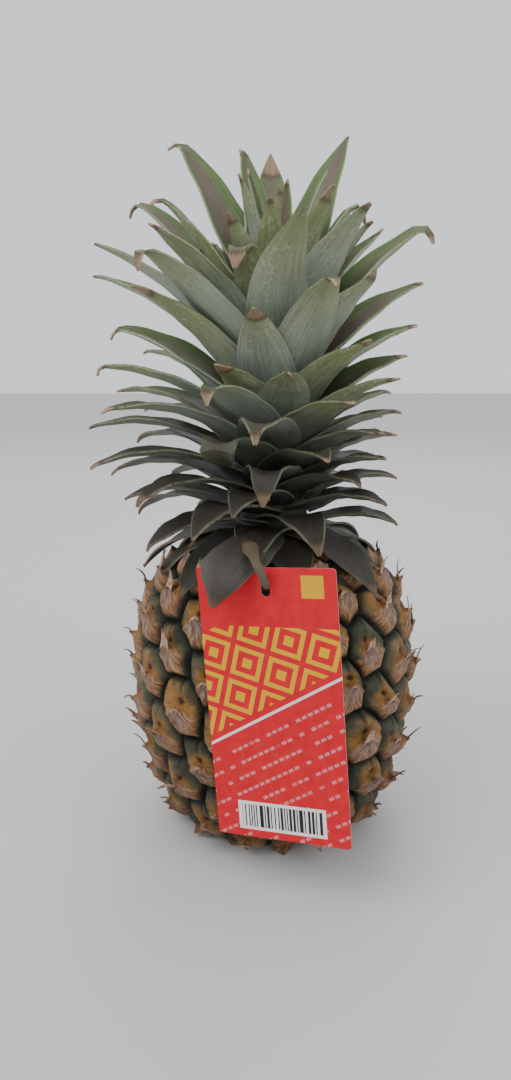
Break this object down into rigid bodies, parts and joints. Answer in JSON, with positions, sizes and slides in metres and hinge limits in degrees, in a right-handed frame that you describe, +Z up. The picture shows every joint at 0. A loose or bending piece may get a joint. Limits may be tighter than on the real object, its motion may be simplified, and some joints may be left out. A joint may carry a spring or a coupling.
{
  "type": "pineapple",
  "caption": "Whole fresh pineapple with its crown of stiff leaves and a plain red card tag hung from a lower leaf, standing upright on its trimmed base.",
  "frame": {"origin": "centre of the trimmed flat underside that the fruit stands on", "axes": "+Z up along the fruit's core towards the tip of the crown, -Y towards the side with the tag, +X to the right when the tag faces the viewer"},
  "size_m": [0.1396, 0.1459, 0.2865],
  "materials": {
    "fruit_skin": "waxy rind of six-sided eyes, orange-brown to dark green, with dry bracts",
    "crown_stem": "short dark green-brown lower leaves with dry edges on a pale stem",
    "leaf": "stiff waxy grey-green leaf, purple-brown down the middle of the inner face, dry tan tip",
    "tag_card": null
  },
  "bodies": {
    "root": {"fruit": "fruit_skin", "crown_stem": "crown_stem", "leaf_01": "leaf", "leaf_02": "leaf", "leaf_03": "leaf", "leaf_04": "leaf", "leaf_05": "leaf", "leaf_06": "leaf", "leaf_07": "leaf", "leaf_08": "leaf", "leaf_09": "leaf", "leaf_10": "leaf", "leaf_11": "leaf", "leaf_12": "leaf", "leaf_13": "leaf", "leaf_14": "leaf", "leaf_15": "leaf", "leaf_16": "leaf", "leaf_17": "leaf", "leaf_18": "leaf", "leaf_19": "leaf", "leaf_20": "leaf", "leaf_21": "leaf", "leaf_22": "leaf", "leaf_23": "leaf", "leaf_24": "leaf", "leaf_25": "leaf", "leaf_26": "leaf", "leaf_27": "leaf", "leaf_28": "leaf", "leaf_29": "leaf", "leaf_30": "leaf", "leaf_31": "leaf", "leaf_32": "leaf", "leaf_33": "leaf", "leaf_34": "leaf", "leaf_35": "leaf", "leaf_36": "leaf", "leaf_37": "leaf", "leaf_38": "leaf", "leaf_39": "leaf", "leaf_40": "leaf", "leaf_41": "leaf", "leaf_42": "leaf", "leaf_43": "leaf", "leaf_44": "leaf", "leaf_45": "leaf", "leaf_46": "leaf", "leaf_47": "leaf", "leaf_48": "leaf", "leaf_49": "leaf", "leaf_50": "leaf", "leaf_51": "leaf", "leaf_52": "leaf", "leaf_53": "leaf", "leaf_54": "leaf", "leaf_55": "leaf", "leaf_56": "leaf", "leaf_57": "leaf", "tag": "tag_card"}
  },
  "joints": []
}
